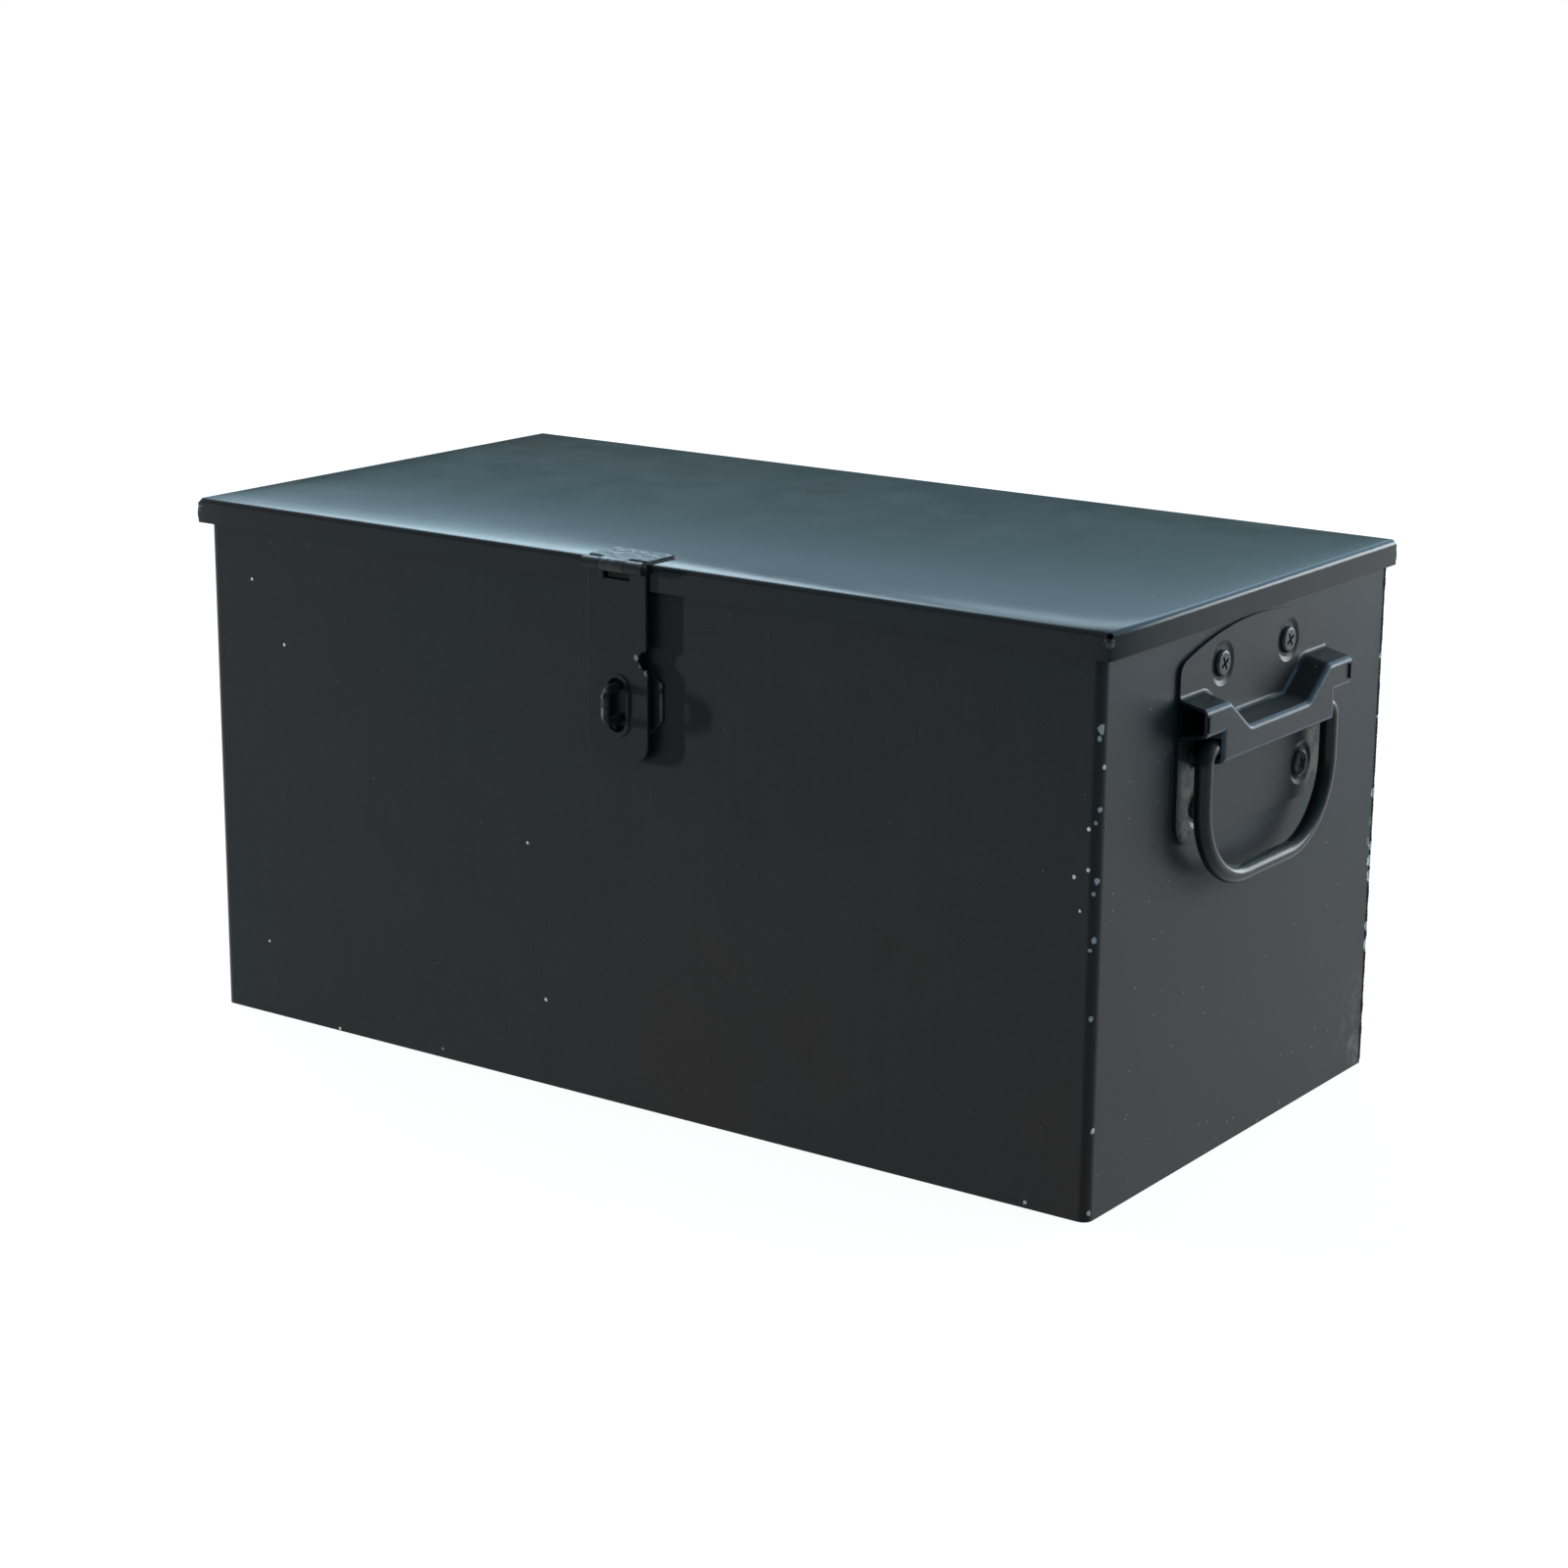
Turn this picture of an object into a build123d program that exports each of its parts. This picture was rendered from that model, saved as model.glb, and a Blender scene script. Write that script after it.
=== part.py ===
from build123d import *
import math
import os

# A steel deed box in millimetres, +Z up. The front faces -Y and the origin is the middle of the underside.
# Painted sheet steel: a wrapped body with a welded back and floor, a shallow lid on two hinges,
# a hasp and staple at the front, and a drop ring handle on each end.

os.makedirs("parts", exist_ok=True)

# Body
body_length = 500.0
body_depth = 256.0
rim_height = 254.0
body_sheet = 1.2
corner_bend = 4.5  # outer radius of the wrap's two front corners
pan_bend = 2.5  # outer radius of the back panel's and floor pan's flanges
seam_flange = 14.0  # how far those flanges lie along the walls that they are welded to
seam_gap = 0.5  # between one flange's end and the next one
hem_depth = 8.0  # the rim is folded inwards once, for a safe edge
hem_round = 0.5

# Lid
lid_sheet = 1.2
lid_skirt = 11.8  # height of the lid's edge, outside
lid_bend = 2.5
lid_corner = 1.6
lid_end_overhang = 4.8
lid_front_overhang = 3.6
lid_back_overhang = 1.8
lid_rim_gap = 0.3
relief_radius = 1.5

# Hinges at the back
hinge_inset = 68.0  # from the box's end to the nearer side of a hinge
hinge_width = 64.0
hinge_sheet = 1.5
hinge_pin_radius = 2.0
hinge_body_leaf = 28.0
hinge_lid_leaf_gap = 1.2  # from the lid leaf's upper edge to the lid's top bend
hinge_knuckles = 5
hinge_skirt_gap = 0.3  # between the barrel and the lid's skirt above it
hinge_corner = 3.0
hinge_pin_head = 1.2

# Hasp
hasp_offset = 4.0  # the hasp sits this far to the right of the middle
hasp_width = 33.0
hasp_sheet = 1.5
hasp_pin_radius = 1.5
hasp_middle_knuckle = 14.0
hasp_skirt_gap = 0.3  # between the strap and the lid's skirt
hasp_leaf_reach = 20.0  # how far the leaf runs back over the lid
hasp_leaf_round = 1.5
hasp_pin_stub = 0.5  # how far each end of the pin stands out
strap_length = 89.0
strap_window = 6.5  # from the pin down to the lower edge of the middle knuckle's window
strap_head_width = 34.5
strap_head_length = 46.0
strap_head_chamfer = 5.0
strap_head_round = 9.0
strap_notch_radius = 4.3
strap_notch_drop = 41.5
slot_width = 10.0
slot_length = 25.0
slot_rim_width = 2.0
slot_rim_height = 0.5
slot_sag = 1.0  # the slot's middle lies below the eye's middle
strap_edge_round = 0.4

# Staple
staple_drop = 62.5  # from the hasp pin down to the middle of the eye
staple_plate_width = 44.0
staple_plate_height = 27.0
staple_plate_thickness = 1.5
staple_plate_chamfer = 5.0
staple_plate_rise = 2.0  # the plate's middle lies above the eye's middle
staple_bar_radius = 2.0
staple_reach = 15.5  # from the front wall to the front of the eye
staple_spacing = 15.0  # between the middles of its two legs
staple_bend = 4.0

# End handles
handle_drop = 61.0  # from the rim down to the ring's axis
handle_sheet = 1.6
handle_plate_width = 133.0
handle_plate_below = 43.0
handle_plate_shoulder = 37.0
handle_plate_above = 48.6
handle_plate_round = 12.0
handle_shoulder_round = 7.0
bridge_height = 15.2  # from the end wall to the bridge's front
bridge_draft = 12.0  # degrees of slope on its walls
bridge_round = 2.6
bridge_foot_round = 2.2
bridge_bend = 6.0  # the rounding of its ramps, seen from the front
dip_half_width = 27.0
ramp_run = 18.5
ear_rise = 13.8  # from the dip up to the ears' top
ear_height = 12.0
ear_lip_width = 2.6
ear_lip_height = 1.0
ring_radius = 4.0
ring_width = 116.0  # between the middles of its legs
ring_drop = 61.7  # from its axis to the middle of its lower bar
ring_top_bend = 7.0
ring_bottom_bend = 38.0
ring_seam = 1.0  # the bar's two ends meet inside the bridge with this gap
ring_play = 0.25
ring_stand = 5.5  # from the end wall to the back of the ring

# Handle fasteners
upper_screw_spacing = 60.0
upper_screw_rise = 32.0
lower_screw_spacing = 94.0
lower_screw_fall = 27.5
screw_radius = 1.9
screw_hole_play = 0.08
screw_head_radius = 6.0
screw_head_height = 1.9
screw_head_round = 1.5
screw_recess_length = 6.6
screw_recess_width = 1.3
screw_recess_depth = 1.1
screw_recess_taper = 8.0
screw_turn = 28.0  # how far the recess is turned
screw_end = 1.5  # how far it stands out of its nut
dish_radius = 10.0
dish_depth = 0.8
dish_taper = 70.0  # degrees from the plate's normal
washer_radius = 6.0
washer_thickness = 1.0
nut_flats = 7.0
nut_height = 3.2

running_play = 0.05  # radial, between a pin and its bore
knuckle_gap = 0.3

# Faces and axes that follow from the sizes above
front = -body_depth / 2
back = body_depth / 2
end = body_length / 2
lid_under = rim_height + lid_rim_gap
lid_top = lid_under + lid_sheet
skirt_bottom = lid_top - lid_skirt
skirt_front = front - lid_front_overhang
skirt_back = back + lid_back_overhang


def save(piece, node):
    """Label a finished piece and write it under its node's name."""
    piece.part.label = node
    export_step(piece.part, f"parts/{node}.step")


# ---------------------------------------------------------------------------------------------- body

handle_axis_z = rim_height - handle_drop
screw_points = [
    (side * spacing / 2, handle_axis_z + rise)
    for spacing, rise in (
        (upper_screw_spacing, upper_screw_rise),
        (lower_screw_spacing, -lower_screw_fall),
    )
    for side in (-1, 1)
]
screw_hole_radius = screw_radius + screw_hole_play
hem_inside = 2 * body_sheet

# Front and both ends: one sheet bent round the two front corners
with BuildPart() as body_wrap:
    with BuildSketch():
        with BuildLine():
            FilletPolyline((-end, back), (-end, front), (end, front), (end, back), radius=corner_bend)
            offset(amount=body_sheet, side=Side.LEFT)
        make_face()
    extrude(amount=rim_height)
    with BuildSketch(Plane.XY.offset(rim_height - hem_depth)):
        with Locations((0, front + 1.5 * body_sheet)):
            Rectangle(body_length - 2 * corner_bend, body_sheet)
        for side in (-1, 1):
            with Locations((side * (end - 1.5 * body_sheet), (corner_bend - hem_inside - seam_gap) / 2)):
                Rectangle(body_sheet, body_depth - corner_bend - hem_inside - seam_gap)
    extrude(amount=hem_depth)
    for side in (-1, 1):
        with BuildSketch(Plane.YZ.offset(side * end)):
            with Locations(*screw_points):
                Circle(screw_hole_radius)
        extrude(amount=-side * 2 * body_sheet, mode=Mode.SUBTRACT)
    fillet(body_wrap.faces().sort_by(Axis.Z)[-1].edges(), hem_round)
save(body_wrap, "body_wrap")

# Back wall, between the ends, with a flange welded inside each of them
pan_length = body_length - 2 * body_sheet
with BuildPart() as back_panel:
    with BuildSketch():
        with BuildLine():
            FilletPolyline(
                (-pan_length / 2, back - seam_flange),
                (-pan_length / 2, back),
                (pan_length / 2, back),
                (pan_length / 2, back - seam_flange),
                radius=pan_bend,
            )
            offset(amount=body_sheet, side=Side.RIGHT)
        make_face()
    extrude(amount=rim_height)
    # the flanges stop short of the floor pan's flange and of the rim's hem
    with BuildSketch():
        with Locations((0, back - body_sheet - seam_flange / 2)):
            Rectangle(body_length, seam_flange)
    extrude(amount=seam_flange + seam_gap, mode=Mode.SUBTRACT)
    with BuildSketch(Plane.XY.offset(rim_height)):
        with Locations((0, back - pan_bend - seam_flange / 2)):
            Rectangle(body_length, seam_flange)
    extrude(amount=-(hem_depth + seam_gap), mode=Mode.SUBTRACT)
    with BuildSketch(Plane.XY.offset(rim_height - hem_depth)):
        with Locations((0, back - 1.5 * body_sheet)):
            Rectangle(pan_length - 2 * pan_bend, body_sheet)
    extrude(amount=hem_depth)
    fillet(back_panel.faces().sort_by(Axis.Z)[-1].edges(), hem_round)
save(back_panel, "back_panel")

# Floor: a shallow pan with its flanges turned up inside the walls
floor_length = body_length - 2 * body_sheet
floor_depth = body_depth - 2 * body_sheet
floor_corner = corner_bend - body_sheet
with BuildPart() as floor_pan:
    with BuildSketch():
        RectangleRounded(floor_length, floor_depth, floor_corner)
    extrude(amount=seam_flange)
    fillet(floor_pan.faces().sort_by(Axis.Z)[0].edges(), pan_bend)
    with BuildSketch(Plane.XY.offset(body_sheet)):
        RectangleRounded(
            floor_length - 2 * body_sheet, floor_depth - 2 * body_sheet, floor_corner - body_sheet
        )
    extrude(amount=seam_flange, mode=Mode.SUBTRACT)
    inner_floor = floor_pan.faces().filter_by(Axis.Z).sort_by(Axis.Z)[1]
    fillet(inner_floor.edges(), pan_bend - body_sheet)
save(floor_pan, "floor_pan")

# ----------------------------------------------------------------------------------------------- lid

lid_length = body_length + 2 * lid_end_overhang
lid_depth = skirt_back - skirt_front
lid_middle = (skirt_back + skirt_front) / 2

# A folded pan. A hole in the flat sheet at each corner leaves an opening where the three folds meet.
with BuildPart() as lid_pan:
    with BuildSketch(Plane.XY.offset(skirt_bottom)):
        with Locations((0, lid_middle)):
            RectangleRounded(lid_length, lid_depth, lid_corner)
    extrude(amount=lid_skirt)
    fillet(lid_pan.faces().sort_by(Axis.Z)[-1].edges(), lid_bend)
    with BuildSketch(Plane.XY.offset(skirt_bottom)):
        with Locations((0, lid_middle)):
            Rectangle(lid_length - 2 * lid_sheet, lid_depth - 2 * lid_sheet)
    extrude(amount=lid_skirt - lid_sheet, mode=Mode.SUBTRACT)
    for side in (-1, 1):
        for edge, way in ((skirt_front, -1), (skirt_back, 1)):
            with Locations(
                Plane(origin=(side * lid_length / 2, edge, lid_top), z_dir=(side, way, 1))
            ):
                Cylinder(relief_radius, 6 * lid_bend, mode=Mode.SUBTRACT)
save(lid_pan, "lid_pan")

# -------------------------------------------------------------------------------------------- hinges

hinge_bore = hinge_pin_radius + running_play
hinge_barrel = hinge_bore + hinge_sheet
hinge_axis_y = back + hinge_barrel
hinge_axis_z = skirt_bottom - hinge_skirt_gap - hinge_barrel
lid_leaf_top = lid_top - lid_bend - hinge_lid_leaf_gap
knuckle_pitch = hinge_width / hinge_knuckles


def hinge_leaf(middle, wall_y, plate_from, plate_to, first_knuckle):
    """One leaf: a plate against a wall, and every other knuckle of the barrel."""
    with BuildPart() as leaf:
        with BuildSketch(Plane.XZ.offset(-wall_y)) as plate:
            with Locations((middle, (plate_from + plate_to) / 2)):
                Rectangle(hinge_width, abs(plate_to - plate_from))
            far = plate.vertices().group_by(Axis.Y)[-1 if plate_to > plate_from else 0]
            fillet(far, hinge_corner)
        extrude(amount=-hinge_sheet)
        # the other leaf's knuckles turn in gaps in this plate
        for knuckle in range(1 - first_knuckle, hinge_knuckles, 2):
            start = middle - hinge_width / 2 + knuckle * knuckle_pitch
            with BuildSketch(Plane.YZ.offset(start - knuckle_gap / 2)):
                with Locations((hinge_axis_y, hinge_axis_z)):
                    Circle(hinge_barrel + knuckle_gap)
            extrude(amount=knuckle_pitch + knuckle_gap, mode=Mode.SUBTRACT)
        for knuckle in range(first_knuckle, hinge_knuckles, 2):
            start = middle - hinge_width / 2 + knuckle * knuckle_pitch
            with BuildSketch(Plane.YZ.offset(start + knuckle_gap / 2)):
                with Locations((hinge_axis_y, hinge_axis_z)):
                    Circle(hinge_barrel)
            extrude(amount=knuckle_pitch - knuckle_gap)
        with BuildSketch(Plane.YZ.offset(middle - hinge_width / 2)):
            with Locations((hinge_axis_y, hinge_axis_z)):
                Circle(hinge_bore)
        extrude(amount=hinge_width, mode=Mode.SUBTRACT)
    return leaf


def hinge_pin(middle):
    """A plain pin with its two ends hammered over."""
    with BuildPart() as pin:
        with BuildSketch(Plane.YZ.offset(middle - hinge_width / 2 - hinge_pin_head)):
            with Locations((hinge_axis_y, hinge_axis_z)):
                Circle(hinge_pin_radius)
        extrude(amount=hinge_width + 2 * hinge_pin_head)
        for side in (-1, 1):
            with BuildSketch(Plane.YZ.offset(middle + side * hinge_width / 2)):
                with Locations((hinge_axis_y, hinge_axis_z)):
                    Circle(hinge_pin_radius + hinge_pin_head)
            extrude(amount=side * hinge_pin_head)
        ends = pin.faces().filter_by(Axis.X).sort_by(Axis.X)
        fillet([edge for face in (ends[0], ends[-1]) for edge in face.edges()], 0.8 * hinge_pin_head)
    return pin


for name, side in (("left", -1), ("right", 1)):
    middle = side * (end - hinge_inset - hinge_width / 2)
    body_leaf = hinge_leaf(middle, back, hinge_axis_z, hinge_axis_z - hinge_body_leaf, 0)
    save(body_leaf, f"hinge_{name}_body_leaf")
    lid_leaf = hinge_leaf(middle, skirt_back, hinge_axis_z + hinge_bore, lid_leaf_top, 1)
    save(lid_leaf, f"hinge_{name}_lid_leaf")
    save(hinge_pin(middle), f"hinge_{name}_pin")

# ---------------------------------------------------------------------------------------------- hasp

hasp_bore = hasp_pin_radius + running_play
hasp_barrel = hasp_bore + hasp_sheet
hasp_axis_y = skirt_front - hasp_skirt_gap - hasp_barrel
hasp_axis_z = lid_top + hasp_sheet - hasp_barrel
hasp_left = hasp_offset - hasp_width / 2
middle_left = hasp_offset - hasp_middle_knuckle / 2
side_knuckle = (hasp_width - hasp_middle_knuckle) / 2 - knuckle_gap
hasp_axis_plane = Plane.YZ.offset(hasp_left)

# The leaf is welded on top of the lid and ends in the middle knuckle
leaf_front = hasp_axis_y + hasp_barrel + knuckle_gap
with BuildPart() as hasp_leaf:
    with BuildSketch(Plane.XY.offset(lid_top)) as plate:
        with Locations((hasp_offset, leaf_front + hasp_leaf_reach / 2)):
            Rectangle(hasp_width, hasp_leaf_reach)
        fillet(plate.vertices().group_by(Axis.Y)[-1], hasp_leaf_round)
        with Locations((hasp_offset, (hasp_axis_y + leaf_front) / 2)):
            Rectangle(hasp_middle_knuckle, leaf_front - hasp_axis_y)
    extrude(amount=hasp_sheet)
    with BuildSketch(Plane.YZ.offset(middle_left)):
        with Locations((hasp_axis_y, hasp_axis_z)):
            Circle(hasp_barrel)
    extrude(amount=hasp_middle_knuckle)
    with BuildSketch(Plane.YZ.offset(middle_left)):
        with Locations((hasp_axis_y, hasp_axis_z)):
            Circle(hasp_bore)
    extrude(amount=hasp_middle_knuckle, mode=Mode.SUBTRACT)
save(hasp_leaf, "hasp_leaf")

# The strap hangs from two outer knuckles over the staple
strap_bottom = hasp_axis_z - strap_length
strap_back = hasp_axis_y + hasp_barrel
slot_z = hasp_axis_z - staple_drop - slot_sag
with BuildPart() as hasp_strap:
    with BuildSketch(Plane.XZ.offset(-strap_back)) as outline:
        with Locations((hasp_offset, strap_bottom + strap_head_length / 2)):
            Rectangle(strap_head_width, strap_head_length)
        fillet(outline.vertices().group_by(Axis.Y)[0], strap_head_round)
        chamfer(outline.vertices().group_by(Axis.Y)[-1], strap_head_chamfer)
        with Locations((hasp_offset, hasp_axis_z - strap_length / 2 + strap_head_round / 2)):
            Rectangle(hasp_width, strap_length - strap_head_round)
        for side in (-1, 1):
            with Locations((hasp_offset + side * hasp_width / 2, hasp_axis_z - strap_notch_drop)):
                Circle(strap_notch_radius, mode=Mode.SUBTRACT)
        with Locations((hasp_offset, slot_z)):
            SlotOverall(slot_length, slot_width, rotation=90, mode=Mode.SUBTRACT)
        with Locations((hasp_offset, hasp_axis_z)):
            Rectangle(hasp_middle_knuckle + 2 * knuckle_gap, 2 * strap_window, mode=Mode.SUBTRACT)
    extrude(amount=hasp_sheet)
    strap_edges = hasp_strap.faces().sort_by(Axis.Y)[0].edges()
    fillet(strap_edges, strap_edge_round)
    with BuildSketch(Plane.XZ.offset(-strap_back + hasp_sheet)):
        with Locations((hasp_offset, slot_z)):
            SlotOverall(slot_length + 2 * slot_rim_width, slot_width + 2 * slot_rim_width, rotation=90)
            SlotOverall(slot_length, slot_width, rotation=90, mode=Mode.SUBTRACT)
    extrude(amount=slot_rim_height)
    for start in (hasp_left, hasp_left + hasp_width - side_knuckle):
        with BuildSketch(Plane.YZ.offset(start)):
            with Locations((hasp_axis_y, hasp_axis_z)):
                Circle(hasp_barrel)
        extrude(amount=side_knuckle)
    with BuildSketch(hasp_axis_plane):
        with Locations((hasp_axis_y, hasp_axis_z)):
            Circle(hasp_bore)
    extrude(amount=hasp_width, mode=Mode.SUBTRACT)
save(hasp_strap, "hasp_strap")

with BuildPart() as hasp_pin:
    with BuildSketch(hasp_axis_plane.offset(-hasp_pin_stub)):
        with Locations((hasp_axis_y, hasp_axis_z)):
            Circle(hasp_pin_radius)
    extrude(amount=hasp_width + 2 * hasp_pin_stub)
    fillet(hasp_pin.edges().filter_by(GeomType.CIRCLE), 0.8 * hasp_pin_stub)
save(hasp_pin, "hasp_pin")

# -------------------------------------------------------------------------------------------- staple

staple_z = hasp_axis_z - staple_drop
staple_legs = [(hasp_offset, staple_z + side * staple_spacing / 2) for side in (-1, 1)]
with BuildPart() as staple_plate:
    with BuildSketch(Plane.XZ.offset(-front)) as plate:
        with Locations((hasp_offset, staple_z + staple_plate_rise)):
            Rectangle(staple_plate_width, staple_plate_height)
        chamfer(plate.vertices(), staple_plate_chamfer)
        with Locations(*staple_legs):
            Circle(staple_bar_radius + running_play, mode=Mode.SUBTRACT)
    extrude(amount=staple_plate_thickness)
    fillet(staple_plate.faces().sort_by(Axis.Y)[0].outer_wire().edges(), strap_edge_round)
save(staple_plate, "staple_plate")

# The eye is a bent bar, its legs welded in the plate's two holes
loop_front = front - staple_reach + staple_bar_radius
with BuildPart() as staple_loop:
    with BuildLine(Plane.YZ.offset(hasp_offset)) as bar:
        FilletPolyline(
            (front, staple_z + staple_spacing / 2),
            (loop_front, staple_z + staple_spacing / 2),
            (loop_front, staple_z - staple_spacing / 2),
            (front, staple_z - staple_spacing / 2),
            radius=staple_bend,
        )
    with BuildSketch(Plane(bar.line @ 0, z_dir=bar.line % 0)):
        Circle(staple_bar_radius)
    sweep(path=bar.line)
save(staple_loop, "staple_loop")

# --------------------------------------------------------------------------------------- end handles

# The plate is one stamping. Its bridge is pressed out in a T: a trough for the ring's bar, and two ears
# above the ring's corners that stop it when it is lifted. The trough's ends and the ears' ends are open.
ring_axis_x = end + ring_stand + ring_radius
leg_y = ring_width / 2
trough_half = ring_radius + ring_play + handle_sheet
trough_half_width = leg_y - ring_top_bend
ramp_top = dip_half_width + ramp_run
ear_top = handle_axis_z + trough_half + ear_rise
ear_bottom = ear_top - ear_height
plate_half = handle_plate_width / 2
draft_run = bridge_height * math.tan(math.radians(bridge_draft))
bridge_points = [
    (-trough_half_width, handle_axis_z - trough_half),
    (trough_half_width, handle_axis_z - trough_half),
    (trough_half_width, ear_bottom),
    (2 * plate_half, ear_bottom),
    (2 * plate_half, ear_top),
    (ramp_top, ear_top),
    (dip_half_width, handle_axis_z + trough_half),
    (-dip_half_width, handle_axis_z + trough_half),
    (-ramp_top, ear_top),
    (-2 * plate_half, ear_top),
    (-2 * plate_half, ear_bottom),
    (-trough_half_width, ear_bottom),
]
end_plane = Plane.YZ.offset(end)


def bridge_outline(grow):
    """The bridge's outline where it meets the end wall, grown by a distance all round."""
    with BuildSketch(end_plane) as outline:
        with BuildLine():
            Polyline(*bridge_points, close=True)
        make_face()
        bends = [v for v in outline.vertices() if abs(v.X) < trough_half_width and v.Y > handle_axis_z]
        fillet(bends, bridge_bend)
        offset(amount=grow, kind=Kind.INTERSECTION)
    return outline.sketch


with BuildPart() as handle_right_plate:
    # the bridge's outside, sloped so that it comes out of its press
    extrude(bridge_outline(draft_run), amount=bridge_height, taper=bridge_draft)
    fillet(handle_right_plate.faces().sort_by(Axis.X)[-1].edges(), bridge_round)
    # the flat plate
    with BuildSketch(end_plane) as plate:
        with BuildLine():
            foot = handle_axis_z - handle_plate_below
            shoulder = handle_axis_z + handle_plate_shoulder
            Polyline((-plate_half, shoulder), (-plate_half, foot), (plate_half, foot), (plate_half, shoulder))
            ThreePointArc(
                (plate_half, shoulder), (0, handle_axis_z + handle_plate_above), (-plate_half, shoulder)
            )
        make_face()
        fillet(plate.vertices().group_by(Axis.Y)[0], handle_plate_round)
        fillet(plate.vertices().group_by(Axis.Y)[-1], handle_shoulder_round)
    extrude(amount=handle_sheet)
    # the ears end flush with the plate's sides
    for side in (-1, 1):
        with BuildSketch(end_plane):
            with Locations((side * 2 * plate_half, handle_axis_z)):
                Rectangle(2 * plate_half, 2 * body_depth)
        extrude(amount=2 * bridge_height, mode=Mode.SUBTRACT)
    # the fold at the bridge's foot
    plate_front = handle_right_plate.faces().filter_by(Axis.X).group_by(Axis.X)[1]
    foot_edges = [edge for face in plate_front for edge in face.edges()]
    fillet(ShapeList(foot_edges).filter_by(GeomType.BSPLINE), bridge_foot_round)
    # the bridge's inside
    inside = bridge_outline(draft_run - handle_sheet)
    extrude(inside, amount=bridge_height - handle_sheet, taper=bridge_draft, mode=Mode.SUBTRACT)
    # slits beside the trough, where the ring's bar comes out
    with BuildSketch(end_plane.offset(handle_sheet)):
        for side in (-1, 1):
            with Locations((side * (trough_half_width + (draft_run - handle_sheet) / 2), handle_axis_z)):
                Rectangle(draft_run + handle_sheet, 2 * (ring_radius + 2 * ring_play))
    extrude(amount=bridge_height - 2 * handle_sheet, mode=Mode.SUBTRACT)
    # dished seats for the screw heads
    with BuildSketch(end_plane.offset(handle_sheet)):
        with Locations(*screw_points):
            Circle(dish_radius)
    extrude(amount=-dish_depth, taper=dish_taper, mode=Mode.SUBTRACT)
    with BuildSketch(end_plane):
        with Locations(*screw_points):
            Circle(screw_hole_radius)
    extrude(amount=handle_sheet, mode=Mode.SUBTRACT)
    # lips at the ears' ends
    for side in (-1, 1):
        with BuildSketch(end_plane.offset(bridge_height)):
            with Locations((side * (plate_half - ear_lip_width / 2), (ear_top + ear_bottom) / 2)):
                Rectangle(ear_lip_width, ear_height - 2 * bridge_round)
        extrude(amount=ear_lip_height)
save(handle_right_plate, "handle_right_plate")

# The ring is round bar bent to a D. Its two ends meet inside the trough.
ring_bottom = handle_axis_z - ring_drop
with BuildPart() as handle_right_ring:
    with BuildLine(Plane.YZ.offset(ring_axis_x)) as bar:
        FilletPolyline(
            (ring_seam / 2, handle_axis_z),
            (leg_y, handle_axis_z),
            (leg_y, ring_bottom),
            (-leg_y, ring_bottom),
            (-leg_y, handle_axis_z),
            (-ring_seam / 2, handle_axis_z),
            radius=[ring_top_bend, ring_bottom_bend, ring_bottom_bend, ring_top_bend],
        )
    with BuildSketch(Plane(bar.line @ 0, z_dir=bar.line % 0)):
        Circle(ring_radius)
    sweep(path=bar.line)
save(handle_right_ring, "handle_right_ring")

# Low pan-head machine screws through the plate and the end wall
seat_x = end + handle_sheet - dish_depth
nut_x = end - body_sheet - washer_thickness - nut_height
with BuildPart() as handle_right_screws:
    with BuildSketch(Plane.YZ.offset(seat_x)):
        with Locations(*screw_points):
            Circle(screw_head_radius)
    extrude(amount=screw_head_height)
    fillet(handle_right_screws.edges().group_by(Axis.X)[-1], screw_head_round)
    with BuildSketch(Plane.YZ.offset(seat_x + screw_head_height)):
        with Locations(*screw_points):
            Rectangle(screw_recess_length, screw_recess_width, rotation=screw_turn)
            Rectangle(screw_recess_width, screw_recess_length, rotation=screw_turn)
    extrude(amount=-screw_recess_depth, taper=screw_recess_taper, mode=Mode.SUBTRACT)
    with BuildSketch(Plane.YZ.offset(seat_x)):
        with Locations(*screw_points):
            Circle(screw_radius)
    extrude(amount=nut_x - screw_end - seat_x)
save(handle_right_screws, "handle_right_screws")

with BuildPart() as handle_right_washers:
    with BuildSketch(Plane.YZ.offset(end - body_sheet)):
        with Locations(*screw_points):
            Circle(washer_radius)
            Circle(screw_hole_radius, mode=Mode.SUBTRACT)
    extrude(amount=-washer_thickness)
save(handle_right_washers, "handle_right_washers")

with BuildPart() as handle_right_nuts:
    with BuildSketch(Plane.YZ.offset(end - body_sheet - washer_thickness)):
        with Locations(*screw_points):
            RegularPolygon(nut_flats / 2, 6, major_radius=False)
            Circle(screw_radius + running_play, mode=Mode.SUBTRACT)
    extrude(amount=-nut_height)
save(handle_right_nuts, "handle_right_nuts")

# The left end's handle is the right one's mirror image
right_handle = {
    "plate": handle_right_plate,
    "ring": handle_right_ring,
    "screws": handle_right_screws,
    "washers": handle_right_washers,
    "nuts": handle_right_nuts,
}
for piece, right_piece in right_handle.items():
    with BuildPart() as left_piece:
        mirror(right_piece.part, about=Plane.YZ)
    save(left_piece, f"handle_left_{piece}")
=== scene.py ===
# A painted sheet-steel deed box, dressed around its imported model. Metres, +Z up, front on -Y.
import math

import bmesh
import bpy
from mathutils import Matrix, Vector, noise


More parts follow.
